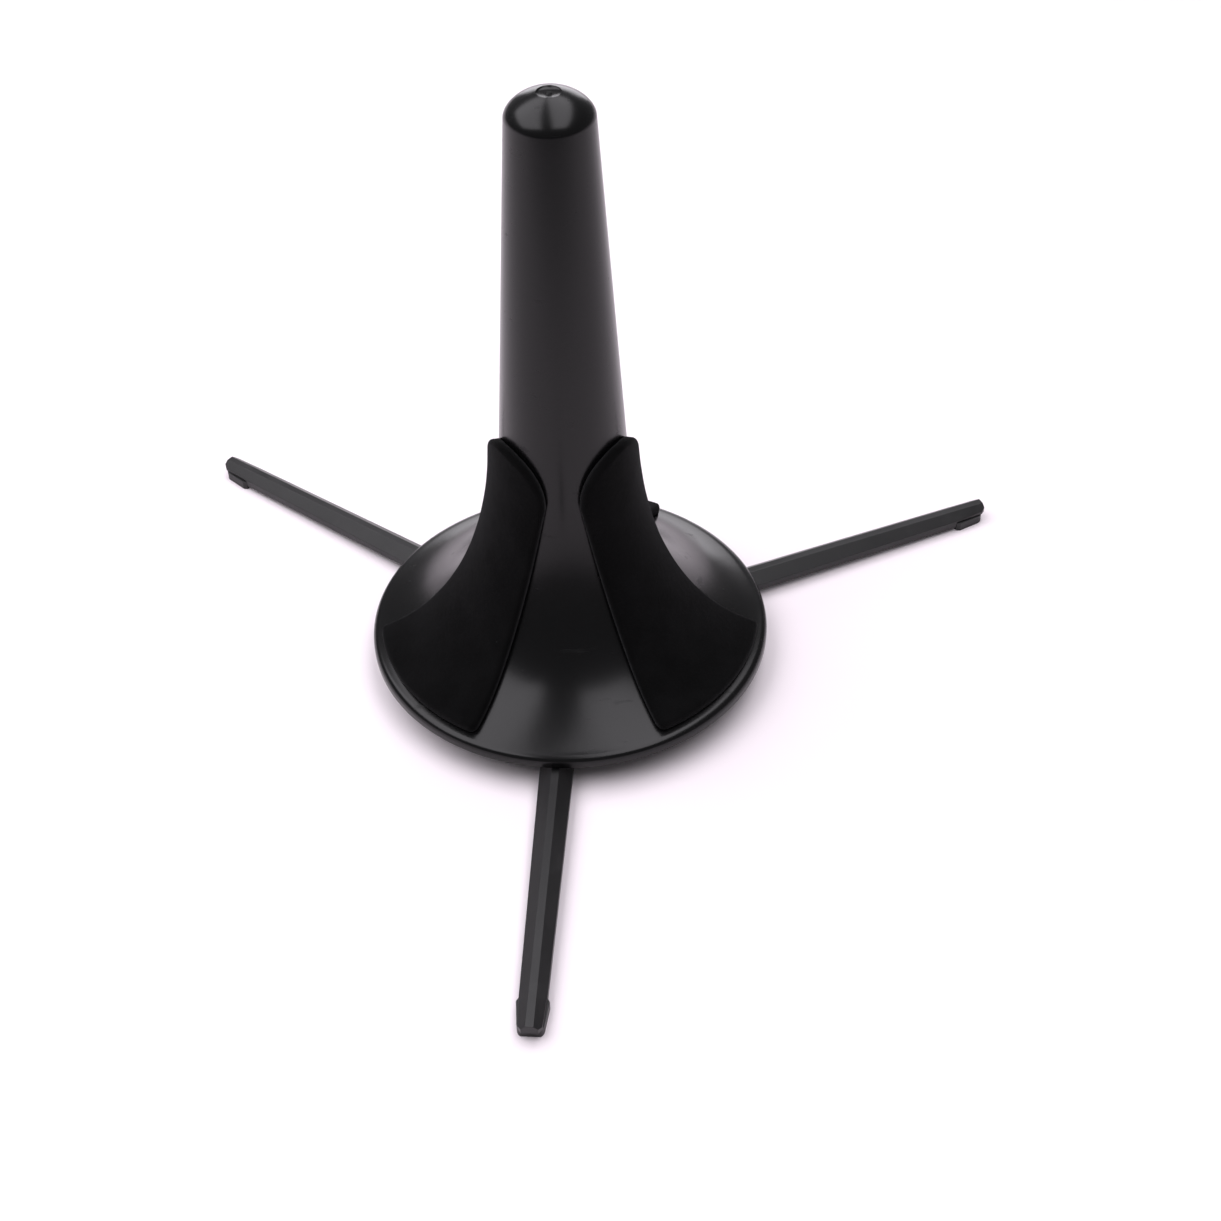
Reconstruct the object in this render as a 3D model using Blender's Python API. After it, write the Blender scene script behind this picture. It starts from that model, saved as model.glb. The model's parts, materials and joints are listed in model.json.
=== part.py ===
"""A trumpet stand: a hollow tapered peg with a flared base, on three legs that fold.

The legs are hinged in the slots of a hub that screws into the sleeve inside the peg. In use
the flare's rim keeps the legs down. Taken off, the hub's legs fold up into a bundle that is
narrow enough to be kept inside the peg.

Metres, +Z up. The origin is the centre of the hub's underside, on the peg's axis.
"""

import math

import bpy

# Heights of the main levels
FLOOR_Z = -0.0015
RIM_Z = FLOOR_Z + 0.0074
PEG_TOP_Z = RIM_Z + 0.1648

# Peg: the flare's rim, the cone between the flare and the dome, and the dome
RIM_RADIUS = 0.0550
RIM_HEIGHT = 0.0035
RIM_ROUNDING = 0.0020
CONE_FOOT_RADIUS = 0.0170
CONE_FOOT_Z = RIM_Z + 0.0595
CONE_TOP_RADIUS = 0.0108
DOME_HEIGHT = 0.0066
DOME_POWER = 1.7
CONE_TOP_Z = PEG_TOP_Z - DOME_HEIGHT
WALL = 0.0020

# The flare is part of an ellipse, from nearly upright at the cone to nearly flat at the rim
FLARE_STEEP = math.radians(85)
FLARE_FLAT = math.radians(10)
FLARE_END_RADIUS = RIM_RADIUS - RIM_ROUNDING
FLARE_END_Z = RIM_Z + RIM_HEIGHT

# Hub and the sleeve that it screws into
HUB_RADIUS = 0.0194
HUB_DISC = 0.0012
SHOULDER_Z = 0.0086
COLLAR_RADIUS = 0.0170
COLLAR_BORE = 0.0126
COLLAR_TOP_Z = 0.0184
THREAD_DEPTH = 0.0007
THREAD_PITCH = 0.0024
COLLAR_FLOOR_Z = 0.0095
SLEEVE_BORE = COLLAR_RADIUS + 0.00035
SLEEVE_WALL = 0.0020
SLEEVE_Z = SHOULDER_Z + 0.0004
SLEEVE_TOP_Z = COLLAR_TOP_Z + 0.0012
THROAT_RADIUS = COLLAR_BORE + 0.0030
THROAT_Z = COLLAR_TOP_Z + 0.0030

# Legs: the directions that they point in, and the hinge of each
LEG_AZIMUTHS = {"front": 264.3, "left": 140.6, "right": 21.8}
HINGE_RADIUS = 0.0070
HINGE_Z = 0.0042
PIN_RADIUS = 0.0015
PIN_CLEARANCE = 0.0001
PIN_NEAR = -0.0082
PIN_FAR = 0.0170
SLOT_WIDTH = 0.0095
LEG_TIP_RADIUS = 0.1349
LEG_ROOT_WIDTH = 0.0088
LEG_TIP_WIDTH = 0.0066
LEG_ROOT_HEIGHT = 0.0049
LEG_TIP_HEIGHT = 0.00435
RIDGE_WIDTH = 0.0020
RIDGE_FALL = 0.0218
ROOF_SLOPE = math.tan(math.radians(40))
KNUCKLE_RADIUS = 0.00245
LEG_TIP_CHAMFER = 0.0012

# Rubber feet, each in a pocket under the tip of a leg, and wider than the leg
FOOT_START_RADIUS = 0.1246
FOOT_END_RADIUS = 0.1338
FOOT_START_WIDTH = 0.0069
FOOT_WIDTH = 0.0081
FOOT_NOSE_WIDTH = 0.0044
FOOT_CHAMFER = 0.0011
FOOT_POCKET = 0.0018

# Pads on the flare that the bell rests on
PAD_AZIMUTHS = {"left": 211.7, "right": 323.5, "back": 85.0}
PAD_THICKNESS = 0.0030
PAD_SIDE_ANGLE = 28.0
PAD_SHOULDER_ANGLE = 41.7
PAD_WIDENING_POWER = 2.0
PAD_STRAIGHT_Z = RIM_Z + 0.015
PAD_SHOULDER_Z = RIM_Z + 0.057
PAD_TOP_Z = RIM_Z + 0.0713
PAD_LOW_RADIUS = 0.0520

GAP = 0.0003
TINY = 0.0001
FULL_TURN = 2 * math.pi


# ---------------------------------------------------------------- scene and meshes


def clear_scene():
    for obj in list(bpy.data.objects):
        bpy.data.objects.remove(obj, do_unlink=True)


def material(name, colour, roughness, metallic=0.0):
    made = bpy.data.materials.new(name)
    made.use_nodes = True
    shader = made.node_tree.nodes["Principled BSDF"]
    shader.inputs["Base Color"].default_value = (*colour, 1.0)
    shader.inputs["Roughness"].default_value = roughness
    shader.inputs["Metallic"].default_value = metallic
    return made


def new_object(name, points, faces, finish=None):
    mesh = bpy.data.meshes.new(name)
    mesh.from_pydata(points, [], faces)
    mesh.validate()
    obj = bpy.data.objects.new(name, mesh)
    bpy.context.scene.collection.objects.link(obj)
    if finish:
        mesh.materials.append(finish)
    return obj


def smooth(obj, crease_degrees=35):
    obj.data.shade_smooth()
    obj.data.set_sharp_from_angle(angle=math.radians(crease_degrees))


def lathe(name, profile, segments, finish=None):
    """A closed solid turned about Z. The profile starts and ends on the axis, outer side first."""
    rings = profile[1:-1]
    points = [(0.0, 0.0, profile[0][1])]
    for radius, height in rings:
        for step in range(segments):
            angle = FULL_TURN * step / segments
            points.append((radius * math.cos(angle), radius * math.sin(angle), height))
    points.append((0.0, 0.0, profile[-1][1]))
    last = len(points) - 1
    faces = []
    for step in range(segments):
        following = (step + 1) % segments
        faces.append((0, 1 + step, 1 + following))
        for ring in range(len(rings) - 1):
            low = 1 + (ring + 1) * segments
            high = 1 + ring * segments
            faces.append((high + step, low + step, low + following, high + following))
        end = 1 + (len(rings) - 1) * segments
        faces.append((last, end + following, end + step))
    return new_object(name, points, faces, finish)


def loft(name, sections, finish=None):
    """A closed solid through sections that all have the same number of points, in order."""
    size = len(sections[0])
    points = [point for section in sections for point in section]
    faces = [tuple(reversed(range(size)))]
    for index in range(len(sections) - 1):
        near = index * size
        far = near + size
        for corner in range(size):
            following = (corner + 1) % size
            faces.append((near + corner, near + following, far + following, far + corner))
    faces.append(tuple(range(len(points) - size, len(points))))
    return new_object(name, points, faces, finish)


def rod_between(name, radius, start, end, sides, finish=None):
    """A rod along Y, from start to end."""
    sections = []
    for along in (start, end):
        ring = []
        for side in range(sides):
            angle = -FULL_TURN * side / sides
            ring.append((radius * math.cos(angle), along, radius * math.sin(angle)))
        sections.append(ring)
    return loft(name, sections, finish)


def block(name, low, high):
    corners = [(low[1], low[2]), (high[1], low[2]), (high[1], high[2]), (low[1], high[2])]
    return loft(name, [[(x, y, z) for y, z in corners] for x in (low[0], high[0])])


def cut(obj, cutter):
    cutter.hide_render = True
    cutter.display_type = "WIRE"
    modifier = obj.modifiers.new("cut", "BOOLEAN")
    modifier.operation = "DIFFERENCE"
    modifier.solver = "EXACT"
    modifier.object = cutter


# ---------------------------------------------------------------- profiles of the peg


def cone_radius(height):
    along = (height - CONE_FOOT_Z) / (CONE_TOP_Z - CONE_FOOT_Z)
    return CONE_FOOT_RADIUS + along * (CONE_TOP_RADIUS - CONE_FOOT_RADIUS)


def flare_point(angle, out=0.0):
    """The flare's surface where its ellipse is at this angle, moved out along its normal."""
    width = (FLARE_END_RADIUS - CONE_FOOT_RADIUS) / (math.sin(FLARE_STEEP) - math.sin(FLARE_FLAT))
    height = (CONE_FOOT_Z - FLARE_END_Z) / (math.cos(FLARE_FLAT) - math.cos(FLARE_STEEP))
    centre_radius = FLARE_END_RADIUS + width * math.sin(FLARE_FLAT)
    centre_z = FLARE_END_Z + height * math.cos(FLARE_FLAT)
    normal_r = height * math.sin(angle)
    normal_z = width * math.cos(angle)
    length = math.hypot(normal_r, normal_z)
    radius = centre_radius - width * math.sin(angle) + out * normal_r / length
    return radius, centre_z - height * math.cos(angle) + out * normal_z / length


def between(start, end, steps):
    return [start + (end - start) * step / steps for step in range(steps + 1)]


def dome(radius, base_z, height, steps):
    """Points from the axis down to the shoulder, on a slightly flattened dome."""
    points = [(0.0, base_z + height)]
    for angle in between(math.radians(78), 0.0, steps):
        reach = math.cos(angle) ** (2 / DOME_POWER)
        rise = math.sin(angle) ** (2 / DOME_POWER)
        points.append((radius * reach, base_z + height * rise))
    return points


def peg_profile():
    outside = dome(CONE_TOP_RADIUS, CONE_TOP_Z, DOME_HEIGHT, 6)
    outside += [flare_point(angle) for angle in between(FLARE_STEEP, FLARE_FLAT, 13)]
    for angle in between(math.radians(60), 0.0, 2):
        radius = FLARE_END_RADIUS + RIM_ROUNDING * math.cos(angle)
        outside.append((radius, FLARE_END_Z - RIM_ROUNDING + RIM_ROUNDING * math.sin(angle)))
    outside += [(RIM_RADIUS, RIM_Z), (RIM_RADIUS - WALL, RIM_Z)]

    sleeve_radius = SLEEVE_BORE + SLEEVE_WALL
    underside = []
    for angle in between(FLARE_FLAT, FLARE_STEEP, 13):
        radius, height = flare_point(angle, -WALL)
        if radius > sleeve_radius + WALL / 2:
            underside.append((radius, height))
    crotch = (sleeve_radius, underside[-1][1] + WALL)
    sleeve = [crotch, (sleeve_radius, SLEEVE_Z), (SLEEVE_BORE, SLEEVE_Z)]
    sleeve += [(SLEEVE_BORE, SLEEVE_TOP_Z), (THROAT_RADIUS, THROAT_Z)]
    sleeve.append((cone_radius(CONE_FOOT_Z) - WALL, CONE_FOOT_Z))
    inside = dome(CONE_TOP_RADIUS - WALL, CONE_TOP_Z, DOME_HEIGHT - WALL, 3)
    return outside + underside + sleeve + inside[::-1]


def make_peg(plastic):
    smooth(lathe("peg_shell", peg_profile(), 60, plastic))


# ---------------------------------------------------------------- pads


def pad_half_angle(height):
    """How far a pad reaches to either side of its middle, at a height on its outer face."""
    if height > PAD_SHOULDER_Z:
        rise = (height - PAD_SHOULDER_Z) / (PAD_TOP_Z - PAD_SHOULDER_Z)
        return math.radians(PAD_SHOULDER_ANGLE * math.sqrt(1 - rise * rise))
    rise = max(0.0, (height - PAD_STRAIGHT_Z) / (PAD_SHOULDER_Z - PAD_STRAIGHT_Z))
    widening = (PAD_SHOULDER_ANGLE - PAD_SIDE_ANGLE) * rise**PAD_WIDENING_POWER
    return math.radians(PAD_SIDE_ANGLE + widening)


def pad_rows():
    """Pairs of points on the pad's inner and outer face, from the rim up to its rounded top."""
    low_angle = FLARE_FLAT
    while flare_point(low_angle)[0] > PAD_LOW_RADIUS:
        low_angle += math.radians(0.5)
    rows = []
    for angle in between(low_angle, FLARE_STEEP, 9):
        rows.append((flare_point(angle, GAP), flare_point(angle, PAD_THICKNESS)))
    for angle in between(math.radians(10), math.radians(78), 5):
        height = PAD_SHOULDER_Z + (PAD_TOP_Z - PAD_SHOULDER_Z) * math.sin(angle)
        radius = cone_radius(height)
        rows.append(((radius + GAP, height), (radius + PAD_THICKNESS, height)))
    return rows


def make_pad(side, finish, columns=8):
    rows = pad_rows()
    points = []
    for face in (0, 1):
        for row in rows:
            reach = pad_half_angle(row[1][1])
            radius, height = row[face]
            for column in range(columns + 1):
                angle = math.radians(PAD_AZIMUTHS[side]) + reach * (2 * column / columns - 1)
                points.append((radius * math.cos(angle), radius * math.sin(angle), height))
    width = columns + 1
    outer = len(rows) * width
    faces = []
    for row in range(len(rows) - 1):
        for column in range(columns):
            corner = row * width + column
            inner_face = (corner, corner + width, corner + width + 1, corner + 1)
            faces.append(inner_face)
            faces.append(tuple(outer + index for index in reversed(inner_face)))
    border = list(range(columns))
    border += [row * width + columns for row in range(len(rows) - 1)]
    border += [(len(rows) - 1) * width + column for column in range(columns, 0, -1)]
    border += [row * width for row in range(len(rows) - 1, 0, -1)]
    for index, corner in enumerate(border):
        following = border[(index + 1) % len(border)]
        faces.append((corner, following, outer + following, outer + corner))
    smooth(new_object("pad_" + side, points, faces, finish))


# ---------------------------------------------------------------- hub and hinge pins


def hub_profile():
    """The hub before its slots are cut, with the collar's thread as a few rings."""
    root_radius = COLLAR_RADIUS - THREAD_DEPTH
    points = [(0.0, COLLAR_FLOOR_Z), (COLLAR_BORE, COLLAR_FLOOR_Z)]
    points += [(COLLAR_BORE, COLLAR_TOP_Z), (root_radius, COLLAR_TOP_Z)]
    crest = COLLAR_TOP_Z - THREAD_DEPTH
    while crest > SHOULDER_Z + THREAD_PITCH:
        points.append((COLLAR_RADIUS, crest - THREAD_DEPTH))
        points.append((COLLAR_RADIUS, crest - 2 * THREAD_DEPTH))
        points.append((root_radius, crest - 3 * THREAD_DEPTH))
        crest -= THREAD_PITCH
    points.append((root_radius, SHOULDER_Z))
    points += [(HUB_RADIUS, SHOULDER_Z), (HUB_RADIUS, 0.0), (0.0, 0.0)]
    return points


def leg_frame(name):
    """An empty at a leg's hinge: X points out along the leg, Y along the pin."""
    azimuth = math.radians(LEG_AZIMUTHS[name])
    frame = bpy.data.objects.new("hinge_of_leg_" + name, None)
    frame.location = (HINGE_RADIUS * math.cos(azimuth), HINGE_RADIUS * math.sin(azimuth), HINGE_Z)
    frame.rotation_euler = (0.0, 0.0, azimuth)
    bpy.context.scene.collection.objects.link(frame)
    return frame


def make_hub(plastic, frames):
    hub = lathe("hub", hub_profile(), 48, plastic)
    smooth(hub)
    reach = HUB_RADIUS * 1.2
    for name, frame in frames.items():
        low = (-HINGE_RADIUS, -SLOT_WIDTH / 2, HUB_DISC - HINGE_Z)
        slot = block("slot_" + name, low, (reach, SLOT_WIDTH / 2, COLLAR_TOP_Z))
        bore_radius = PIN_RADIUS + PIN_CLEARANCE
        bore = rod_between("bore_" + name, bore_radius, PIN_NEAR - GAP, reach, 20)
        for cutter in (slot, bore):
            cutter.parent = frame
            cut(hub, cutter)


def make_pin(name, frame, steel):
    pin = rod_between("hinge_pin_" + name, PIN_RADIUS, PIN_NEAR, PIN_FAR, 20, steel)
    pin.parent = frame
    smooth(pin)


# ---------------------------------------------------------------- legs and feet


def ridge_z(radius):
    """Height of a leg's ridge, which passes just under the rim and falls towards the tip."""
    return RIM_Z - GAP - (radius - RIM_RADIUS) * RIDGE_FALL


def leg_size(radius):
    """Width and height of a leg's section at this distance from the peg's axis."""
    along = max(0.0, (radius - RIM_RADIUS) / (LEG_TIP_RADIUS - RIM_RADIUS))
    width = LEG_ROOT_WIDTH + along * (LEG_TIP_WIDTH - LEG_ROOT_WIDTH)
    whole = (radius - HINGE_RADIUS) / (LEG_TIP_RADIUS - HINGE_RADIUS)
    return width, LEG_ROOT_HEIGHT + whole * (LEG_TIP_HEIGHT - LEG_ROOT_HEIGHT)


def leg_section(radius, narrower=0.0, flatter=1.0, pocket=0.0):
    """The roof-shaped section, in the hinge's frame. Flatter squeezes it towards the pin's height."""
    width, height = leg_size(radius)
    half = width / 2 - narrower
    top = ridge_z(radius)
    side = top - (half - RIDGE_WIDTH / 2) * ROOF_SLOPE
    bottom = top - height + pocket
    outline = [(-half, bottom), (half, bottom), (half, side)]
    outline += [(RIDGE_WIDTH / 2, top), (-RIDGE_WIDTH / 2, top), (-half, side)]
    along = radius - HINGE_RADIUS
    return [(along, y, (z - HINGE_Z) * flatter) for y, z in outline]


def make_leg(name, frame, plastic):
    sections = []
    for angle in (80, 55, 28):
        turn = math.radians(angle)
        section = leg_section(HINGE_RADIUS, 0.0, math.cos(turn))
        sections.append([(x - KNUCKLE_RADIUS * math.sin(turn), y, z) for x, y, z in section])
    for radius in (HINGE_RADIUS, HUB_RADIUS, RIM_RADIUS, FOOT_START_RADIUS - GAP):
        sections.append(leg_section(radius))
    tip_start = LEG_TIP_RADIUS - LEG_TIP_CHAMFER
    sections.append(leg_section(FOOT_START_RADIUS - TINY, pocket=FOOT_POCKET))
    sections.append(leg_section(tip_start, LEG_TIP_CHAMFER / 3, pocket=FOOT_POCKET))
    sections.append(leg_section(LEG_TIP_RADIUS, LEG_TIP_CHAMFER, pocket=FOOT_POCKET))
    leg = loft("leg_" + name, sections, plastic)
    leg.parent = frame
    bore = rod_between("eye_" + name, PIN_RADIUS + PIN_CLEARANCE, -SLOT_WIDTH, SLOT_WIDTH, 20)
    bore.parent = frame
    cut(leg, bore)
    smooth(leg)


def make_foot(name, frame, rubber):
    """A block that widens at its root and tapers to a blunt nose."""
    nose_start = FOOT_END_RADIUS - FOOT_CHAMFER
    stations = [(FOOT_START_RADIUS, FOOT_START_WIDTH / 2)]
    stations.append((FOOT_START_RADIUS + FOOT_CHAMFER, FOOT_WIDTH / 2))
    stations.append((nose_start, (FOOT_WIDTH + FOOT_NOSE_WIDTH) / 4))
    stations.append((FOOT_END_RADIUS, FOOT_NOSE_WIDTH / 2))
    top = leg_section(LEG_TIP_RADIUS, pocket=FOOT_POCKET)[0][2] - GAP
    bottom = FLOOR_Z - HINGE_Z
    sections = []
    for radius, half in stations:
        x = radius - HINGE_RADIUS
        corners = [(-half, bottom), (half, bottom), (half, top), (-half, top)]
        sections.append([(x, y, z) for y, z in corners])
    foot = loft("foot_" + name, sections, rubber)
    foot.parent = frame


# ---------------------------------------------------------------- the whole stand


def main():
    clear_scene()
    plastic = material("black_plastic", (0.012, 0.012, 0.013), 0.28)
    leg_plastic = material("leg_plastic", (0.020, 0.020, 0.021), 0.40)
    flock = material("pad_flock", (0.006, 0.006, 0.006), 0.95)
    rubber = material("foot_rubber", (0.016, 0.016, 0.017), 0.55)
    steel = material("pin_steel", (0.55, 0.55, 0.56), 0.30, 1.0)

    make_peg(plastic)
    for side in PAD_AZIMUTHS:
        make_pad(side, flock)
    frames = {name: leg_frame(name) for name in LEG_AZIMUTHS}
    make_hub(plastic, frames)
    for name, frame in frames.items():
        make_pin(name, frame, steel)
        make_leg(name, frame, leg_plastic)
        make_foot(name, frame, rubber)


main()
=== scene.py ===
"""The looks of the trumpet stand: fine mouldings, flocked pads, rubber feet, light and camera.

Metres, +Z up, in the CAD's frame: the origin is the centre of the hub's underside.
"""

import json
import math

import bpy
import numpy as np
from mathutils import Euler, Matrix, Vector, noise


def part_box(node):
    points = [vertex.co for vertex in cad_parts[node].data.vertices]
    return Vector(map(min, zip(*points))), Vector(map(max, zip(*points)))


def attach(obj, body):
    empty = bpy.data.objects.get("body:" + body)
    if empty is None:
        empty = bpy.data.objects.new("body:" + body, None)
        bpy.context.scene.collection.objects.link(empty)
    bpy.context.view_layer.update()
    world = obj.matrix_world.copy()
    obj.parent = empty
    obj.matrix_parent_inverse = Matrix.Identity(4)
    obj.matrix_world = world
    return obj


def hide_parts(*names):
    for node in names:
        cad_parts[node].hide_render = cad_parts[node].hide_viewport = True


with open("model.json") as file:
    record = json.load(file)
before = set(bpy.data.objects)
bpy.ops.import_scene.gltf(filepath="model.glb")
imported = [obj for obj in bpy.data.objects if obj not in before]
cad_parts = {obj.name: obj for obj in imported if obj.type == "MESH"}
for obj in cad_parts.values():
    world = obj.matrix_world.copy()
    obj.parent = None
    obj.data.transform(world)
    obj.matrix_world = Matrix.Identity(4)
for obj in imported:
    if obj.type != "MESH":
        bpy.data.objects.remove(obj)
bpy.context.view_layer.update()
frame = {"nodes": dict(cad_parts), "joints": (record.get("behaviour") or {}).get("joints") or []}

FULL_TURN = 2 * math.pi
GAP = 0.0003

# Main sizes, measured on the frame
PEG_LOW, PEG_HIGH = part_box("peg_shell")
RIM_Z = PEG_LOW.z
RIM_RADIUS = PEG_HIGH.x
PEG_TOP_Z = PEG_HIGH.z
HUB_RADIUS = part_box("hub")[1].x
COLLAR_TOP_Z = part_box("hub")[1].z
FLOOR_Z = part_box("foot_front")[0].z

# Peg
RIM_HEIGHT = 0.0035
RIM_ROUNDING = 0.0020
RIM_ARC_START = math.radians(80)
CONE_FOOT_RADIUS = 0.0170
CONE_FOOT_Z = RIM_Z + 0.0595
CONE_TOP_RADIUS = 0.0108
DOME_HEIGHT = 0.0066
DOME_POWER = 1.7
CONE_TOP_Z = PEG_TOP_Z - DOME_HEIGHT
WALL = 0.0020
PEG_CORNER = 0.0003
FLARE_STEEP = math.radians(85)
FLARE_FLAT = math.radians(10)
FLARE_END_RADIUS = RIM_RADIUS - RIM_ROUNDING
FLARE_END_Z = RIM_Z + RIM_HEIGHT
GATE_RADIUS = 0.0030
GATE_DEPTH = 0.00040

# Hub, its thread and the sleeve round it
SHOULDER_Z = 0.0086
COLLAR_BORE = 0.0126
COLLAR_RADIUS = 0.0170
COLLAR_FLOOR_Z = 0.0095
HUB_CORNER = 0.0004
HUB_DISC = 0.0012
SLOT_WIDTH = 0.0095
PIN_HOLE_RADIUS = 0.0016
PIN_HOLE_DEPTH = 0.0085
THREAD_DEPTH = 0.0006
THREAD_PITCH = 0.0024
THREAD_FULLNESS = 1.6
THREAD_FLANK = 5.0
THREAD_RUNOUT = 0.0008
THREAD_CLEARANCE = 0.00035
RADIUS_TOLERANCE = GAP / 10
SHOULDER_CLEARANCE = 0.0004
SLEEVE_BORE = COLLAR_RADIUS + THREAD_CLEARANCE
SLEEVE_RADIUS = SLEEVE_BORE + WALL
SLEEVE_Z = SHOULDER_Z + SHOULDER_CLEARANCE
THROAT_WIDENING = 0.0030
THROAT_RADIUS = COLLAR_BORE + THROAT_WIDENING
THROAT_Z = COLLAR_TOP_Z + THROAT_WIDENING

# Legs and feet
LEG_TIP_RADIUS = 0.1349
LEG_ROOT_WIDTH = 0.0088
LEG_TIP_WIDTH = 0.0066
LEG_ROOT_HEIGHT = 0.0049
LEG_TIP_HEIGHT = 0.00435
RIDGE_WIDTH = 0.0020
RIDGE_FALL = 0.0218
ROOF_SLOPE = math.tan(math.radians(40))
KNUCKLE_RADIUS = 0.00245
KNUCKLE_TURN = math.radians(84)
LEG_ROUNDING = 0.00045
LEG_TIP_CHAMFER = 0.0012
FOOT_START_RADIUS = 0.1246
FOOT_END_RADIUS = 0.1338
FOOT_START_WIDTH = 0.0069
FOOT_WIDTH = 0.0081
FOOT_NOSE_WIDTH = 0.0044
FOOT_CHAMFER = 0.0011
FOOT_POCKET = 0.0018
FOOT_ROUNDING = 0.00025
GLUE_LINE = 0.00006

# Pads
PAD_THICKNESS = 0.0030
PAD_ROUNDING = 0.0012
PAD_CORNER = 0.0022
PAD_SIDE_ANGLE = 28.0
PAD_SHOULDER_ANGLE = 41.7
PAD_WIDENING_POWER = 2.0
PAD_STRAIGHT_Z = RIM_Z + 0.015
PAD_SHOULDER_Z = RIM_Z + 0.057
PAD_TOP_Z = RIM_Z + 0.0713
PAD_LOW_RADIUS = 0.0520
PAD_UNEVENNESS = 0.00006
PAD_LUMPS_PER_METRE = 160.0

# The rounded border of a pad: its width, the most it may take of half the pad's width, and where
# its points lie, as shares of its rounding at the pad's lower end and of its width at the sides
PAD_BORDER = 1.2 * PAD_ROUNDING
PAD_BORDER_LIMIT = 0.45
PAD_END_SHARES = (0.0, 0.08, 0.25, 0.5, 0.8)
PAD_SIDE_SHARES = (0.0, 0.07, 0.22, 0.45, 0.72)

# How finely the shapes are divided
PEG_SEGMENTS = 192
HUB_SEGMENTS = 120
ROD_SIDES = 32
DOME_STEPS = 22
INNER_DOME_STEPS = 8
CONE_STEPS = 24
FLARE_STEPS = 60
RIM_STEPS = 8
SLEEVE_STEPS = 44
COLLAR_STEPS = 46
KNUCKLE_STEPS = 8
NOSE_STEPS = 6
PAD_SEARCH_STEP = math.radians(0.2)
PAD_FLARE_STEPS = 120
PAD_CONE_STEPS = 30
PAD_LENGTH_STEPS = 64
PAD_WIDTH_STEPS = 40
PAD_TOP_STEPS = 26
PAD_TOP_TURN = math.radians(85)

# Edges that bend by more than this, in degrees, are shaded sharp, or rounded for the last one
PEG_CREASE = 40
LEG_CREASE = 50
HUB_CREASE = 35
ROUNDED_CREASE = 24

# Painted shade: the paper under the stand is painted grey between these, in front of what the camera
# sees, standing in for the unlit front of the room
PAINTED_SHADE_START_Y = -0.20
PAINTED_SHADE_FULL_Y = -0.60

FLOOR_HALF = 3.0

# Light
LIGHT_COLOUR = (0.98, 0.95, 1.0)
SKY_COLOUR = (0.98, 0.97, 1.0)
SKY_STRENGTH = 0.20

# Camera
CAMERA_PLACE = Vector((0.0, -0.41168, RIM_Z + 0.38106))
CAMERA_PITCH = math.radians(42.39)
CAMERA_YAW = math.radians(1.58)
CAMERA_ROLL = math.radians(-1.27)
CAMERA_LENS = 58.82
CAMERA_NEAR = 0.01


# ---------------------------------------------------------------- meshes


def between(start, end, steps):
    return [start + (end - start) * step / steps for step in range(steps + 1)]


def new_object(name, points, faces):
    mesh = bpy.data.meshes.new(name)
    mesh.from_pydata(points, [], faces)
    mesh.validate()
    made = bpy.data.objects.new(name, mesh)
    bpy.context.scene.collection.objects.link(made)
    return made


def smooth(piece, crease_degrees):
    piece.data.shade_smooth()
    piece.data.set_sharp_from_angle(angle=math.radians(crease_degrees))


def turned(name, profile, segments, shape=None):
    """A closed solid about Z, from a profile that starts on the axis, goes round and ends on it.

    Where shape is given, it turns a point's radius, angle and height into its final radius.
    """
    rings = profile[1:-1]
    points = [(0.0, 0.0, profile[0][1])]
    for radius, height in rings:
        for step in range(segments):
            angle = FULL_TURN * step / segments
            reach = shape(radius, angle, height) if shape else radius
            points.append((reach * math.cos(angle), reach * math.sin(angle), height))
    points.append((0.0, 0.0, profile[-1][1]))
    faces = []
    for step in range(segments):
        following = (step + 1) % segments
        faces.append((0, 1 + step, 1 + following))
        for ring in range(len(rings) - 1):
            high = 1 + ring * segments
            low = high + segments
            faces.append((high + step, low + step, low + following, high + following))
        end = 1 + (len(rings) - 1) * segments
        faces.append((len(points) - 1, end + following, end + step))
    return new_object(name, points, faces)


def lofted(name, sections):
    """A closed solid through sections that have the same number of points."""
    size = len(sections[0])
    points = [point for section in sections for point in section]
    faces = [tuple(reversed(range(size)))]
    for near in range(0, len(points) - size, size):
        for corner in range(size):
            following = (corner + 1) % size
            far = near + size
            faces.append((near + corner, near + following, far + following, far + corner))
    faces.append(tuple(range(len(points) - size, len(points))))
    return new_object(name, points, faces)


def rod(name, radius, start, end):
    """A rod along Y."""
    sections = []
    for along in (start, end):
        turns = [-FULL_TURN * side / ROD_SIDES for side in range(ROD_SIDES)]
        sections.append([(radius * math.cos(t), along, radius * math.sin(t)) for t in turns])
    return lofted(name, sections)


def block(name, low, high):
    corners = [(low[1], low[2]), (high[1], low[2]), (high[1], high[2]), (low[1], high[2])]
    return lofted(name, [[(x, y, z) for y, z in corners] for x in (low[0], high[0])])


def add_modifier(piece, kind, **settings):
    modifier = piece.modifiers.new(kind.lower(), kind)
    for name, value in settings.items():
        setattr(modifier, name, value)


def apply_modifiers(piece, *cutters):
    """Makes the evaluated mesh the piece's own, and removes the cutters that it no longer needs."""
    graph = bpy.context.evaluated_depsgraph_get()
    final = bpy.data.meshes.new_from_object(piece.evaluated_get(graph))
    piece.modifiers.clear()
    piece.data = final
    for cutter in cutters:
        bpy.data.objects.remove(cutter, do_unlink=True)


def round_edges(piece, width):
    limit = math.radians(ROUNDED_CREASE)
    add_modifier(piece, "BEVEL", width=width, segments=3, limit_method="ANGLE", angle_limit=limit)


def fit(piece, node, body):
    """The piece stands for the CAD node, which it hides, and rides on its body."""
    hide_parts(node)
    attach(piece, body)


# ---------------------------------------------------------------- materials


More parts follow.
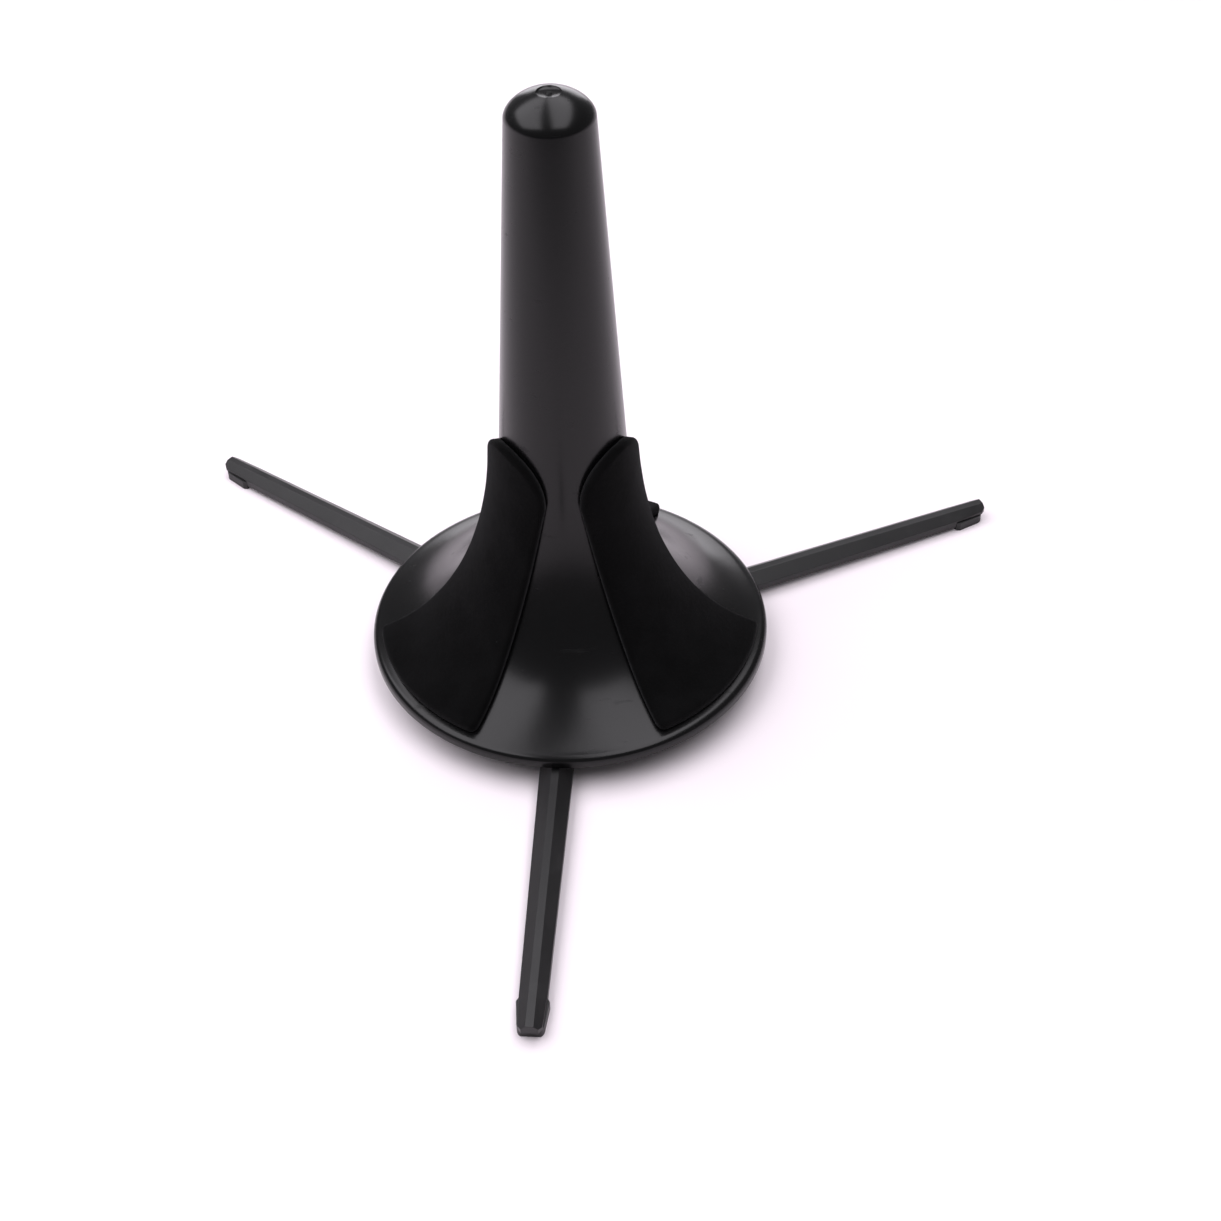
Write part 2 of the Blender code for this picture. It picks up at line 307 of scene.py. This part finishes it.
def new_material(name, colour, **values):
    made = bpy.data.materials.new(name)
    made.use_nodes = True
    shader = made.node_tree.nodes["Principled BSDF"]
    shader.inputs["Base Color"].default_value = (*colour, 1.0)
    for socket, value in values.items():
        shader.inputs[socket.replace("_", " ")].default_value = value
    return made, made.node_tree, shader


def add_node(tree, kind, inputs, **settings):
    made = tree.nodes.new(kind)
    for name, value in settings.items():
        setattr(made, name, value)
    for name, value in inputs.items():
        if isinstance(value, bpy.types.NodeSocket):
            tree.links.new(value, made.inputs[name])
        else:
            made.inputs[name].default_value = value
    return made


def placed(tree, stretch=(1.0, 1.0, 1.0)):
    """Object coordinates in metres, stretched."""
    place = tree.nodes.new("ShaderNodeTexCoord").outputs["Object"]
    return add_node(tree, "ShaderNodeMapping", {"Vector": place, "Scale": stretch}).outputs["Vector"]


def noise_at(tree, size, detail=2.0, stretch=(1.0, 1.0, 1.0)):
    """Noise from 0 to 1 whose lumps are about this size in metres."""
    inputs = {"Vector": placed(tree, stretch), "Scale": 1.0 / size, "Detail": detail}
    return add_node(tree, "ShaderNodeTexNoise", inputs).outputs["Fac"]


def remap(tree, value, source, target):
    """Maps the source range onto the target range, and holds the value at its ends."""
    low, high = source
    start, end = target
    inputs = {"Value": value, "From Min": low, "From Max": high, "To Min": start, "To Max": end}
    return add_node(tree, "ShaderNodeMapRange", inputs).outputs["Result"]


def combine(tree, operation, first, second):
    made = tree.nodes.new("ShaderNodeMath")
    made.operation = operation
    for socket, value in zip(made.inputs, (first, second)):
        if isinstance(value, bpy.types.NodeSocket):
            tree.links.new(value, socket)
        else:
            socket.default_value = value
    return made.outputs["Value"]


def specks(tree, spacing, size, share):
    """A mask of round specks: one at most in each cell of this spacing, in this share of the cells."""
    inputs = {"Vector": placed(tree), "Scale": 1.0 / spacing}
    cells = add_node(tree, "ShaderNodeTexVoronoi", inputs)
    reach = size / spacing
    edge = (0.3 * reach, 0.5 * reach)
    dots = remap(tree, cells.outputs["Distance"], edge, (1.0, 0.0))
    chance = add_node(tree, "ShaderNodeSeparateColor", {"Color": cells.outputs["Color"]}).outputs["Red"]
    return combine(tree, "MULTIPLY", dots, combine(tree, "LESS_THAN", chance, share))


def tinted(tree, shader, base, tint, mask):
    """The base colour, which turns into the tint where the mask is 1."""
    mixer = tree.nodes.new("ShaderNodeMix")
    mixer.data_type = "RGBA"
    colours = [socket for socket in mixer.inputs if socket.type == "RGBA"]
    colours[0].default_value = (*base, 1.0)
    colours[1].default_value = (*tint, 1.0)
    tree.links.new(mask, mixer.inputs["Factor"])
    result = [socket for socket in mixer.outputs if socket.type == "RGBA"][0]
    tree.links.new(result, shader.inputs["Base Color"])


def bumps(tree, shader, *layers):
    """Bump layers, each a height from 0 to 1 and how tall that is in metres."""
    normal = None
    for height, tall in layers:
        inputs = {"Height": height, "Distance": tall, "Strength": 1.0}
        if normal:
            inputs["Normal"] = normal
        normal = add_node(tree, "ShaderNodeBump", inputs).outputs["Normal"]
    tree.links.new(normal, shader.inputs["Normal"])


def gloss_plastic():
    """Smooth black moulded plastic, with flow marks, faint scuffs and a little dust."""
    base = (0.0022, 0.0022, 0.0024)
    made, tree, shader = new_material("peg_plastic", base, Specular_IOR_Level=0.30, IOR=1.5)
    clouds = noise_at(tree, size=0.030, detail=3.0, stretch=(1.0, 1.0, 0.35))
    haze = remap(tree, clouds, source=(0.35, 0.65), target=(0.21, 0.26))
    streaks = noise_at(tree, size=0.0035, detail=4.0, stretch=(0.25, 1.0, 1.6))
    scuffs = remap(tree, streaks, source=(0.66, 0.74), target=(0.0, 0.14))
    dust = specks(tree, spacing=0.007, size=0.00035, share=0.35)
    worn = combine(tree, "ADD", haze, scuffs)
    dusty = combine(tree, "ADD", worn, remap(tree, dust, source=(0.0, 1.0), target=(0.0, 0.4)))
    tree.links.new(dusty, shader.inputs["Roughness"])
    tinted(tree, shader, base, (0.045, 0.045, 0.047), dust)
    peel = noise_at(tree, size=0.0022)
    flow = noise_at(tree, size=0.014, stretch=(1.0, 1.0, 0.3))
    bumps(tree, shader, (peel, 0.000008), (flow, 0.00003))
    return made


def satin_plastic():
    """Black moulded plastic with a fine spark-eroded grain, for the legs and the hub."""
    base = (0.0042, 0.0042, 0.0045)
    made, tree, shader = new_material("leg_plastic", base, Specular_IOR_Level=0.46, IOR=1.5)
    clouds = noise_at(tree, size=0.012, detail=3.0)
    patches = remap(tree, clouds, source=(0.35, 0.65), target=(0.36, 0.46))
    tree.links.new(patches, shader.inputs["Roughness"])
    wear = noise_at(tree, size=0.006, detail=4.0)
    rubbed = remap(tree, wear, source=(0.60, 0.72), target=(0.0, 0.5))
    dust = specks(tree, spacing=0.006, size=0.0003, share=0.3)
    marks = combine(tree, "MAXIMUM", rubbed, dust)
    tinted(tree, shader, base, (0.012, 0.012, 0.0125), marks)
    grain = noise_at(tree, size=0.00030, detail=3.0)
    sink = noise_at(tree, size=0.010, detail=1.0)
    bumps(tree, shader, (grain, 0.000012), (sink, 0.00003))
    return made


def flock():
    """Short black flock on foam: it takes light at grazing angles, and holds some lint."""
    base = (0.0012, 0.0012, 0.00125)
    made, tree, shader = new_material(
        "pad_flock",
        base,
        Roughness=0.95,
        Specular_IOR_Level=0.07,
        Sheen_Weight=0.05,
        Sheen_Roughness=0.45,
        Sheen_Tint=(0.75, 0.75, 0.78, 1.0),
    )
    strokes = noise_at(tree, size=0.009, detail=3.0)
    brushed = remap(tree, strokes, source=(0.35, 0.70), target=(0.0, 0.10))
    lint = specks(tree, spacing=0.010, size=0.0004, share=0.25)
    tinted(tree, shader, base, (0.016, 0.016, 0.017), combine(tree, "MAXIMUM", brushed, lint))
    fibres = noise_at(tree, size=0.00016, detail=3.0)
    lay = noise_at(tree, size=0.0011)
    bumps(tree, shader, (fibres, 0.00010), (lay, 0.00008))
    return made


def foot_rubber():
    """Soft black rubber with a dull bloom."""
    base = (0.0060, 0.0060, 0.0062)
    made, tree, shader = new_material("foot_rubber", base, Specular_IOR_Level=0.46)
    bloom = noise_at(tree, size=0.004, detail=3.0)
    dull = remap(tree, bloom, source=(0.3, 0.7), target=(0.42, 0.54))
    tree.links.new(dull, shader.inputs["Roughness"])
    greyed = remap(tree, bloom, source=(0.5, 0.8), target=(0.0, 0.8))
    tinted(tree, shader, base, (0.013, 0.013, 0.0135), greyed)
    bumps(tree, shader, (noise_at(tree, size=0.0004, detail=3.0), 0.00002))
    return made


def pin_steel():
    """Drawn steel wire, with fine lines round it."""
    base = (0.50, 0.50, 0.51)
    made, tree, shader = new_material("pin_steel", base, Metallic=1.0)
    lines = noise_at(tree, size=0.0006, detail=4.0, stretch=(1.0, 1.0, 6.0))
    drawn = remap(tree, lines, source=(0.3, 0.7), target=(0.22, 0.42))
    tree.links.new(drawn, shader.inputs["Roughness"])
    darker = remap(tree, lines, source=(0.55, 0.75), target=(0.0, 0.7))
    tinted(tree, shader, base, (0.34, 0.33, 0.32), darker)
    bumps(tree, shader, (lines, 0.00001))
    return made


def floor_paper():
    """White paper with a faint pink cast, with painted shade that greys it towards the camera for the
    unlit front of the room.
    """
    base = (0.84, 0.785, 0.815)
    made, tree, shader = new_material("floor_paper", base, Roughness=0.9, Specular_IOR_Level=0.1)
    place = add_node(tree, "ShaderNodeSeparateXYZ", {"Vector": placed(tree)})
    # Painted shade: the paper is painted grey towards the camera, standing in for the unlit front of the
    # room
    painted_shade = remap(tree, place.outputs["Y"], (PAINTED_SHADE_FULL_Y, PAINTED_SHADE_START_Y), (1.0, 0.0))
    tinted(tree, shader, base, (0.15, 0.15, 0.155), painted_shade)
    return made


# ---------------------------------------------------------------- peg


def cone_radius(height):
    along = (height - CONE_FOOT_Z) / (CONE_TOP_Z - CONE_FOOT_Z)
    return CONE_FOOT_RADIUS + along * (CONE_TOP_RADIUS - CONE_FOOT_RADIUS)


def flare_point(angle, out=0.0):
    """The flare's surface where its ellipse is at this angle, moved out along its normal."""
    width = (FLARE_END_RADIUS - CONE_FOOT_RADIUS) / (math.sin(FLARE_STEEP) - math.sin(FLARE_FLAT))
    height = (CONE_FOOT_Z - FLARE_END_Z) / (math.cos(FLARE_FLAT) - math.cos(FLARE_STEEP))
    centre_radius = FLARE_END_RADIUS + width * math.sin(FLARE_FLAT)
    centre_z = FLARE_END_Z + height * math.cos(FLARE_FLAT)
    normal_r = height * math.sin(angle)
    normal_z = width * math.cos(angle)
    length = math.hypot(normal_r, normal_z)
    radius = centre_radius - width * math.sin(angle) + out * normal_r / length
    return radius, centre_z - height * math.cos(angle) + out * normal_z / length


def dome_z(radius, full_radius, height):
    """Height of the dome over its shoulder at this radius."""
    return height * (1 - (radius / full_radius) ** DOME_POWER) ** (1 / DOME_POWER)


def dome_points(full_radius, height, start_radius, steps):
    """From a radius near the top down to the shoulder, closer together as it steepens."""
    points = []
    start = math.asin(start_radius / full_radius)
    for angle in between(start, math.radians(90), steps):
        radius = full_radius * math.sin(angle)
        points.append((radius, CONE_TOP_Z + dome_z(radius, full_radius, height)))
    return points


def gate_mark():
    """The round recess in the top of the dome where the plastic went in, with its cut-off stub."""
    stub_top = 0.22 * GATE_RADIUS
    stub_foot = 0.28 * GATE_RADIUS
    floor_edge = 0.88 * GATE_RADIUS
    lip = 0.94 * GATE_RADIUS
    floor_z = CONE_TOP_Z + dome_z(GATE_RADIUS, CONE_TOP_RADIUS, DOME_HEIGHT) - GATE_DEPTH
    stub_z = floor_z + 0.6 * GATE_DEPTH
    lip_z = floor_z + 0.3 * GATE_DEPTH
    stub = [(0.0, stub_z), (stub_top, stub_z), (stub_foot, floor_z)]
    return stub + [(floor_edge, floor_z), (lip, lip_z)]


def peg_outside():
    """From the gate mark down the dome, the cone, the flare and the rim."""
    outside = gate_mark() + dome_points(CONE_TOP_RADIUS, DOME_HEIGHT, GATE_RADIUS, DOME_STEPS)
    outside += [(cone_radius(z), z) for z in between(CONE_TOP_Z, CONE_FOOT_Z, CONE_STEPS)[1:-1]]
    outside += [flare_point(angle) for angle in between(FLARE_STEEP, FLARE_FLAT, FLARE_STEPS)]
    for angle in between(RIM_ARC_START, 0.0, RIM_STEPS):
        radius = FLARE_END_RADIUS + RIM_ROUNDING * math.cos(angle)
        outside.append((radius, FLARE_END_Z - RIM_ROUNDING + RIM_ROUNDING * math.sin(angle)))
    outside += [(RIM_RADIUS, RIM_Z + PEG_CORNER), (RIM_RADIUS - PEG_CORNER, RIM_Z)]
    inner_face = RIM_RADIUS - WALL
    return outside + [(inner_face + PEG_CORNER, RIM_Z), (inner_face, RIM_Z + PEG_CORNER)]


def peg_inside():
    """From the rim in under the flare, round the sleeve and up to the top of the hollow."""
    underside = []
    for angle in between(FLARE_FLAT, FLARE_STEEP, FLARE_STEPS):
        radius, height = flare_point(angle, -WALL)
        if radius > SLEEVE_RADIUS + WALL / 2:
            underside.append((radius, height))
    sleeve = [(SLEEVE_RADIUS, underside[-1][1] + WALL), (SLEEVE_RADIUS, SLEEVE_Z)]
    sleeve.append((SLEEVE_BORE + PEG_CORNER, SLEEVE_Z))
    bore_end = COLLAR_TOP_Z + THREAD_RUNOUT
    sleeve += [(SLEEVE_BORE, z) for z in between(SLEEVE_Z + PEG_CORNER, bore_end, SLEEVE_STEPS)]
    sleeve.append((THROAT_RADIUS, THROAT_Z))
    sleeve.append((cone_radius(CONE_FOOT_Z) - WALL, CONE_FOOT_Z))
    dome = dome_points(CONE_TOP_RADIUS - WALL, DOME_HEIGHT - WALL, WALL, INNER_DOME_STEPS)
    top = (0.0, CONE_TOP_Z + DOME_HEIGHT - WALL)
    return underside + sleeve + dome[::-1] + [top]


def ridge(angle, height):
    """The thread's height at a point on its cylinder: 1 on its crest, 0 in its groove."""
    phase = (height / THREAD_PITCH - angle / FULL_TURN) % 1.0
    return min(1.0, max(0.0, THREAD_FULLNESS - abs(phase - 0.5) * THREAD_FLANK))


def sleeve_thread(radius, angle, height):
    threaded = abs(radius - SLEEVE_BORE) < RADIUS_TOLERANCE and height < COLLAR_TOP_Z
    return radius + THREAD_DEPTH * (1 - ridge(angle, height)) if threaded else radius


def make_peg(finish):
    peg = turned("peg_moulding", peg_outside() + peg_inside(), PEG_SEGMENTS, sleeve_thread)
    smooth(peg, PEG_CREASE)
    peg.data.materials.append(finish)
    fit(peg, "peg_shell", "peg")


# ---------------------------------------------------------------- pads


def node_azimuth(node):
    """The direction of a node's middle from the peg's axis."""
    points = [vertex.co for vertex in frame["nodes"][node].data.vertices]
    return math.atan2(sum(p.y for p in points), sum(p.x for p in points))


def pad_half_angle(height):
    """How far a pad reaches to either side of its middle, at a height on its outer face."""
    if height > PAD_SHOULDER_Z:
        rise = min(1.0, (height - PAD_SHOULDER_Z) / (PAD_TOP_Z - PAD_SHOULDER_Z))
        return math.radians(PAD_SHOULDER_ANGLE * math.sqrt(1 - rise * rise))
    rise = max(0.0, (height - PAD_STRAIGHT_Z) / (PAD_SHOULDER_Z - PAD_STRAIGHT_Z))
    widening = (PAD_SHOULDER_ANGLE - PAD_SIDE_ANGLE) * rise**PAD_WIDENING_POWER
    return math.radians(PAD_SIDE_ANGLE + widening)


def pad_line():
    """The pad's middle line on the peg: arc length, radius, height and the normal's two parts."""
    low = FLARE_FLAT
    while flare_point(low)[0] > PAD_LOW_RADIUS:
        low += PAD_SEARCH_STEP
    line = []
    for angle in between(low, FLARE_STEEP, PAD_FLARE_STEPS):
        inner = flare_point(angle)
        outer = flare_point(angle, 1.0)
        line.append((inner[0], inner[1], outer[0] - inner[0], outer[1] - inner[1]))
    for height in between(CONE_FOOT_Z, PAD_TOP_Z, PAD_CONE_STEPS)[1:]:
        line.append((cone_radius(height), height, 1.0, 0.0))
    line = np.array(line)
    outer = line[:, :2] + PAD_THICKNESS * line[:, 2:]
    steps = np.hypot(*np.diff(outer, axis=0).T)
    return np.concatenate([[0.0], np.cumsum(steps)]), line


def pad_stations(length):
    """Distances up the pad, closer together where its edge is rounded and where its top curves in."""
    edge = [PAD_ROUNDING * share for share in PAD_END_SHARES]
    dome_start = length - (PAD_TOP_Z - PAD_SHOULDER_Z)
    middle = between(PAD_BORDER, dome_start, PAD_LENGTH_STEPS)
    turns = between(0.0, PAD_TOP_TURN, PAD_TOP_STEPS)[1:]
    return edge + middle + [dome_start + (length - dome_start) * math.sin(turn) for turn in turns]


def pad_outline(lengths, line):
    """At each station: the peg's surface and normal there, and half the pad's width."""
    stations = np.array(pad_stations(lengths[-1]))
    rows = np.array([np.interp(stations, lengths, line[:, part]) for part in range(4)]).T
    radii = rows[:, 0] + PAD_THICKNESS * rows[:, 2]
    heights = rows[:, 1] + PAD_THICKNESS * rows[:, 3]
    halves = np.array([pad_half_angle(height) for height in heights]) * radii
    lift = np.clip(PAD_CORNER - stations, 0.0, PAD_CORNER)
    halves -= PAD_CORNER - np.sqrt(PAD_CORNER**2 - lift**2)
    slopes = np.gradient(halves, stations)
    return stations, rows, radii, halves, slopes


def pad_surface():
    """Rows of (turn from the pad's middle, surface radius, height, normal r, normal z, thickness)."""
    stations, rows, radii, halves, slopes = pad_outline(*pad_line())
    surface = []
    for along, row, radius, half, slope in zip(stations, rows, radii, halves, slopes):
        edge = min(PAD_BORDER, PAD_BORDER_LIMIT * half)
        right = [half - edge * share for share in PAD_SIDE_SHARES]
        middle = between(half - edge, edge - half, PAD_WIDTH_STEPS)
        across = right + middle + [-x for x in reversed(right)]
        line = []
        for x in across:
            inset = min((half - abs(x)) / math.hypot(1.0, slope), along, PAD_ROUNDING)
            fall = PAD_ROUNDING - math.sqrt(PAD_ROUNDING**2 - (PAD_ROUNDING - inset) ** 2)
            line.append((-x / radius, *row, PAD_THICKNESS - fall))
        surface.append(line)
    return surface


def pad_points(middle, surface):
    """The glued face and then the flocked face, turned to the pad's direction."""
    points = []
    for raised in (False, True):
        for line in surface:
            for turn, radius, height, normal_r, normal_z, thickness in line:
                angle = middle + turn
                out = thickness if raised else GAP
                place = Vector((angle * radius, height, radius)) * PAD_LUMPS_PER_METRE
                if raised:
                    out -= PAD_UNEVENNESS * (1 + noise.noise(place))
                reach = radius + out * normal_r
                points.append((reach * math.cos(angle), reach * math.sin(angle), height + out * normal_z))
    return points


def pad_faces(rows, width):
    """Both faces of a pad of rows by width points, and the strip that closes its border."""
    outer = rows * width
    faces = []
    for row in range(rows - 1):
        for column in range(width - 1):
            corner = row * width + column
            inner_face = (corner, corner + width, corner + width + 1, corner + 1)
            faces.append(inner_face)
            faces.append(tuple(outer + index for index in reversed(inner_face)))
    last = outer - width
    border = list(range(width - 1)) + list(range(width - 1, last + width - 1, width))
    border += list(range(last + width - 1, last, -1)) + list(range(last, 0, -width))
    for index, corner in enumerate(border):
        following = border[(index + 1) % len(border)]
        faces.append((corner, following, outer + following, outer + corner))
    return faces


def make_pad(side, surface, finish):
    points = pad_points(node_azimuth("pad_" + side), surface)
    pad = new_object(f"pad_{side}_flocked", points, pad_faces(len(surface), len(surface[0])))
    pad.data.shade_smooth()
    pad.data.materials.append(finish)
    fit(pad, "pad_" + side, "peg")


# ---------------------------------------------------------------- legs and feet


def ridge_z(radius):
    return RIM_Z - GAP - (radius - RIM_RADIUS) * RIDGE_FALL


def leg_section(radius, hinge, narrower=0.0, flatter=1.0, pocket=0.0):
    """The roof-shaped section in the hinge's frame, as (x, y, z).

    Narrower is what each side loses, flatter squeezes it to the pin's height, and pocket is how far
    its underside is raised.
    """
    along = max(0.0, (radius - RIM_RADIUS) / (LEG_TIP_RADIUS - RIM_RADIUS))
    whole = (radius - hinge.radius) / (LEG_TIP_RADIUS - hinge.radius)
    half = (LEG_ROOT_WIDTH + along * (LEG_TIP_WIDTH - LEG_ROOT_WIDTH)) / 2 - narrower
    top = ridge_z(radius)
    bottom = top - LEG_ROOT_HEIGHT - whole * (LEG_TIP_HEIGHT - LEG_ROOT_HEIGHT) + pocket
    side = top - (half - RIDGE_WIDTH / 2) * ROOF_SLOPE
    outline = [(-half, bottom), (half, bottom), (half, side)]
    outline += [(RIDGE_WIDTH / 2, top), (-RIDGE_WIDTH / 2, top), (-half, side)]
    return [(radius - hinge.radius, y, (z - hinge.height) * flatter) for y, z in outline]


class Hinge:
    """Where a leg's hinge is, from the frame's joint."""

    def __init__(self, joint):
        place = Vector(joint["pos_m"])
        self.leg = joint["child"]
        self.side = self.leg.removeprefix("leg_")
        self.radius = math.hypot(place.x, place.y)
        self.height = place.z
        turn = Matrix.Rotation(math.atan2(place.y, place.x), 4, "Z")
        self.matrix = Matrix.Translation(place) @ turn


def finish_on_hinge(piece, hinge, node, finish):
    """Evens out the shading and puts the piece at its hinge, on the leg's body."""
    smooth(piece, LEG_CREASE)
    add_modifier(piece, "WEIGHTED_NORMAL", keep_sharp=True)
    apply_modifiers(piece)
    piece.data.transform(hinge.matrix)
    piece.data.materials.append(finish)
    fit(piece, node, hinge.leg)


def make_leg(hinge, finish):
    """A loft from the round knuckle out to the tip, with the foot's pocket and the pin's hole."""
    sections = []
    for angle in between(KNUCKLE_TURN, 0.0, KNUCKLE_STEPS):
        section = leg_section(hinge.radius, hinge, flatter=math.cos(angle))
        back = KNUCKLE_RADIUS * math.sin(angle)
        sections.append([(x - back, y, z) for x, y, z in section])
    for radius in (HUB_RADIUS, RIM_RADIUS, FOOT_START_RADIUS - GAP):
        sections.append(leg_section(radius, hinge))
    tip_start = LEG_TIP_RADIUS - LEG_TIP_CHAMFER
    for radius, narrower in (
        (FOOT_START_RADIUS, 0.0),
        (tip_start, LEG_TIP_CHAMFER / 3),
        (LEG_TIP_RADIUS, LEG_TIP_CHAMFER),
    ):
        sections.append(leg_section(radius, hinge, narrower, pocket=FOOT_POCKET))
    leg = lofted(hinge.leg + "_moulding", sections)
    round_edges(leg, LEG_ROUNDING)
    eye = rod("eye", PIN_HOLE_RADIUS, -SLOT_WIDTH, SLOT_WIDTH)
    add_modifier(leg, "BOOLEAN", operation="DIFFERENCE", solver="EXACT", object=eye)
    apply_modifiers(leg, eye)
    finish_on_hinge(leg, hinge, hinge.leg, finish)


def make_foot(hinge, finish):
    """A block that widens at its root and tapers to a blunt, rounded nose."""
    nose_length = 2 * FOOT_CHAMFER
    nose_start = FOOT_END_RADIUS - nose_length
    nose_half = FOOT_NOSE_WIDTH / 2
    cheek_half = (FOOT_WIDTH + FOOT_NOSE_WIDTH) / 4 + FOOT_CHAMFER / 4
    stations = [(FOOT_START_RADIUS, FOOT_START_WIDTH / 2)]
    stations.append((FOOT_START_RADIUS + FOOT_CHAMFER, FOOT_WIDTH / 2))
    for angle in between(0.0, math.radians(90), NOSE_STEPS):
        radius = nose_start + nose_length * math.sin(angle)
        stations.append((radius, nose_half + (cheek_half - nose_half) * math.cos(angle)))
    top = leg_section(LEG_TIP_RADIUS, hinge, pocket=FOOT_POCKET)[0][2] - GLUE_LINE
    bottom = FLOOR_Z - hinge.height
    sections = []
    for radius, half in stations:
        x = radius - hinge.radius
        corners = [(-half, bottom), (half, bottom), (half, top), (-half, top)]
        sections.append([(x, y, z) for y, z in corners])
    foot = lofted(f"foot_{hinge.side}_rubber", sections)
    round_edges(foot, FOOT_ROUNDING)
    apply_modifiers(foot)
    finish_on_hinge(foot, hinge, "foot_" + hinge.side, finish)


# ---------------------------------------------------------------- hub


def hub_profile():
    """From the collar's floor up its bore, down the thread and over the shoulder to the underside."""
    corner = HUB_CORNER
    root = COLLAR_RADIUS - THREAD_DEPTH
    points = [(0.0, COLLAR_FLOOR_Z), (COLLAR_BORE - corner, COLLAR_FLOOR_Z)]
    points += [(COLLAR_BORE, COLLAR_FLOOR_Z + corner), (COLLAR_BORE, COLLAR_TOP_Z - corner)]
    points += [(COLLAR_BORE + corner, COLLAR_TOP_Z), (root - corner, COLLAR_TOP_Z)]
    points += [(root, z) for z in between(COLLAR_TOP_Z - corner, SHOULDER_Z + corner, COLLAR_STEPS)]
    points += [(root + corner, SHOULDER_Z), (HUB_RADIUS - corner, SHOULDER_Z)]
    points += [(HUB_RADIUS, SHOULDER_Z - corner), (HUB_RADIUS, corner)]
    return points + [(HUB_RADIUS - corner, 0.0), (0.0, 0.0)]


def collar_thread(radius, angle, height):
    """The ridge on the collar, which rises from nothing at both ends."""
    root = COLLAR_RADIUS - THREAD_DEPTH
    if abs(radius - root) > RADIUS_TOLERANCE:
        return radius
    from_end = min(COLLAR_TOP_Z - height, height - SHOULDER_Z) - HUB_CORNER
    return radius + THREAD_DEPTH * ridge(angle, height) * min(1.0, from_end / THREAD_RUNOUT)


def make_hub(hinges, finish):
    """The threaded hub, with a slot for each leg and a pin hole that opens to the hub's side."""
    hub = turned("hub_moulding", hub_profile(), HUB_SEGMENTS, collar_thread)
    past_side = HUB_RADIUS * 1.2
    cutters = []
    for hinge in hinges:
        low = (-hinge.radius, -SLOT_WIDTH / 2, HUB_DISC - hinge.height)
        slot = block("slot", low, (past_side, SLOT_WIDTH / 2, COLLAR_TOP_Z))
        bore = rod("bore", PIN_HOLE_RADIUS, -PIN_HOLE_DEPTH, past_side)
        for cutter in (slot, bore):
            cutter.data.transform(hinge.matrix)
            add_modifier(hub, "BOOLEAN", operation="DIFFERENCE", solver="EXACT", object=cutter)
            cutters.append(cutter)
    apply_modifiers(hub, *cutters)
    smooth(hub, HUB_CREASE)
    hub.data.materials.append(finish)
    fit(hub, "hub", "base")


# ---------------------------------------------------------------- floor, light and camera


def make_floor():
    half = FLOOR_HALF
    corners = [(-half, -half), (half, -half), (half, half), (-half, half)]
    floor = new_object("floor", [(x, y, FLOOR_Z) for x, y in corners], [(0, 1, 2, 3)])
    floor.data.materials.append(floor_paper())


def make_softbox(name, place, size, radiance, turn=None):
    """A rectangle of light of the same brightness at any size.

    With a turn, in degrees about Z, it hangs level overhead. Otherwise it faces the stand.
    """
    light = bpy.data.lights.new(name, "AREA")
    light.shape = "RECTANGLE"
    light.size, light.size_y = size
    light.energy = radiance * math.pi * size[0] * size[1]
    light.color = LIGHT_COLOUR
    lamp = bpy.data.objects.new(name, light)
    lamp.location = place
    if turn is None:
        middle = Vector((0.0, 0.0, PEG_TOP_Z / 3))
        lamp.rotation_euler = (middle - Vector(place)).to_track_quat("-Z", "Y").to_euler()
    else:
        lamp.rotation_euler.z = math.radians(turn)
    bpy.context.scene.collection.objects.link(lamp)


def make_light():
    world = bpy.data.worlds.new("studio")
    world.use_nodes = True
    background = world.node_tree.nodes["Background"]
    background.inputs["Color"].default_value = (*SKY_COLOUR, 1.0)
    background.inputs["Strength"].default_value = SKY_STRENGTH
    bpy.context.scene.world = world
    make_softbox("softbox_left", place=(-0.92, 0.10, 1.10), size=(1.40, 1.70), radiance=3.2, turn=-12.0)
    make_softbox("softbox_right", place=(0.36, 0.05, 1.10), size=(0.70, 1.70), radiance=3.2, turn=7.0)
    make_softbox("back_wall", place=(0.15, 2.00, 0.40), size=(1.50, 0.80), radiance=3.0)


def make_camera():
    camera = bpy.data.objects.new("camera", bpy.data.cameras.new("camera"))
    camera.data.lens = CAMERA_LENS
    camera.data.clip_start = CAMERA_NEAR
    aim = Euler((math.radians(90) - CAMERA_PITCH, 0.0, -CAMERA_YAW)).to_matrix().to_4x4()
    roll = Matrix.Rotation(CAMERA_ROLL, 4, "Z")
    camera.matrix_world = Matrix.Translation(CAMERA_PLACE) @ aim @ roll
    bpy.context.scene.collection.objects.link(camera)
    bpy.context.scene.camera = camera
    bpy.context.scene.view_settings.view_transform = "Standard"


# ---------------------------------------------------------------- the whole scene


def main():
    make_camera()
    make_peg(gloss_plastic())
    surface = pad_surface()
    felt = flock()
    for side in ("left", "right", "back"):
        make_pad(side, surface, felt)
    hinges = [Hinge(joint) for joint in frame["joints"] if joint["type"] == "hinge"]
    satin = satin_plastic()
    rubber = foot_rubber()
    steel = pin_steel()
    make_hub(hinges, satin)
    for hinge in hinges:
        make_leg(hinge, satin)
        make_foot(hinge, rubber)
        frame["nodes"]["hinge_pin_" + hinge.side].material_slots[0].material = steel
    make_floor()
    make_light()


main()
